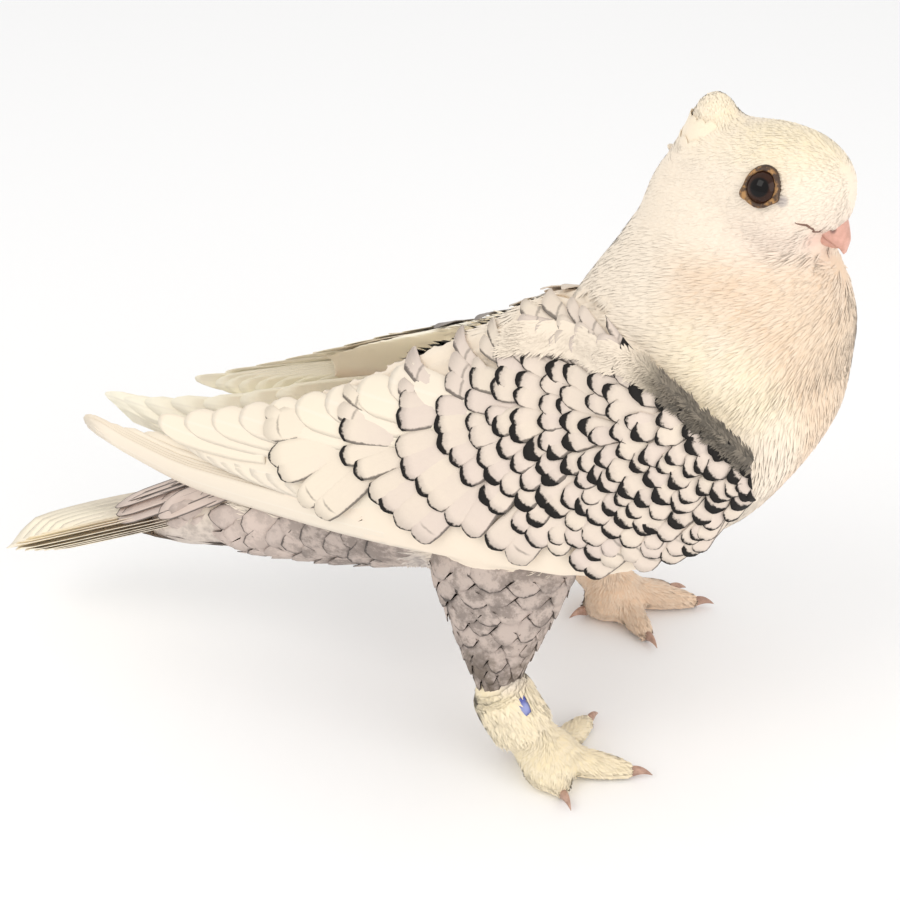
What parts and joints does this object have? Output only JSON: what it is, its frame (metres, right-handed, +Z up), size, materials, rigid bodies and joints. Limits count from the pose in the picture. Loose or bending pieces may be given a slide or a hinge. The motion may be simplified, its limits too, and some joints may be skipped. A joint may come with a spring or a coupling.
{
  "type": "standing pigeon model",
  "caption": "Life-size still model of a standing frilled pigeon with a short peaked crest, laced wings, a frill down the breast and feathered legs.",
  "frame": {"origin": "on the floor, under the middle of the model's bounding box", "axes": "+X the way the body faces, +Y its left side, +Z up"},
  "size_m": [0.235, 0.1095, 0.1799],
  "materials": {
    "torso": "soft matt plumage",
    "neck": "soft matt plumage",
    "head": "soft matt plumage",
    "tail": "soft matt plumage",
    "wing_right": "soft matt plumage",
    "wing_left": "soft matt plumage",
    "thigh_right": "soft matt plumage",
    "thigh_left": "soft matt plumage",
    "shank_right": "soft matt plumage",
    "shank_left": "soft matt plumage",
    "foot_right": "soft matt plumage",
    "foot_left": "soft matt plumage",
    "beak_upper": "smooth satin horn",
    "beak_lower": "smooth satin horn",
    "eye_right": "polished dark eye",
    "eye_left": "polished dark eye",
    "leg_ring": "plain blue violet band",
    "claw_middle_right": "smooth satin horn",
    "claw_middle_left": "smooth satin horn",
    "claw_inner_right": "smooth satin horn",
    "claw_inner_left": "smooth satin horn",
    "claw_outer_right": "smooth satin horn",
    "claw_outer_left": "smooth satin horn",
    "claw_back_right": "smooth satin horn",
    "claw_back_left": "smooth satin horn"
  },
  "bodies": {
    "root": {"torso": "torso", "neck": "neck", "head": "head", "tail": "tail", "wing_right": "wing_right", "wing_left": "wing_left", "thigh_right": "thigh_right", "thigh_left": "thigh_left", "shank_right": "shank_right", "shank_left": "shank_left", "foot_right": "foot_right", "foot_left": "foot_left", "beak_upper": "beak_upper", "beak_lower": "beak_lower", "eye_right": "eye_right", "eye_left": "eye_left", "leg_ring": "leg_ring", "claw_middle_right": "claw_middle_right", "claw_middle_left": "claw_middle_left", "claw_inner_right": "claw_inner_right", "claw_inner_left": "claw_inner_left", "claw_outer_right": "claw_outer_right", "claw_outer_left": "claw_outer_left", "claw_back_right": "claw_back_right", "claw_back_left": "claw_back_left"}
  },
  "joints": []
}
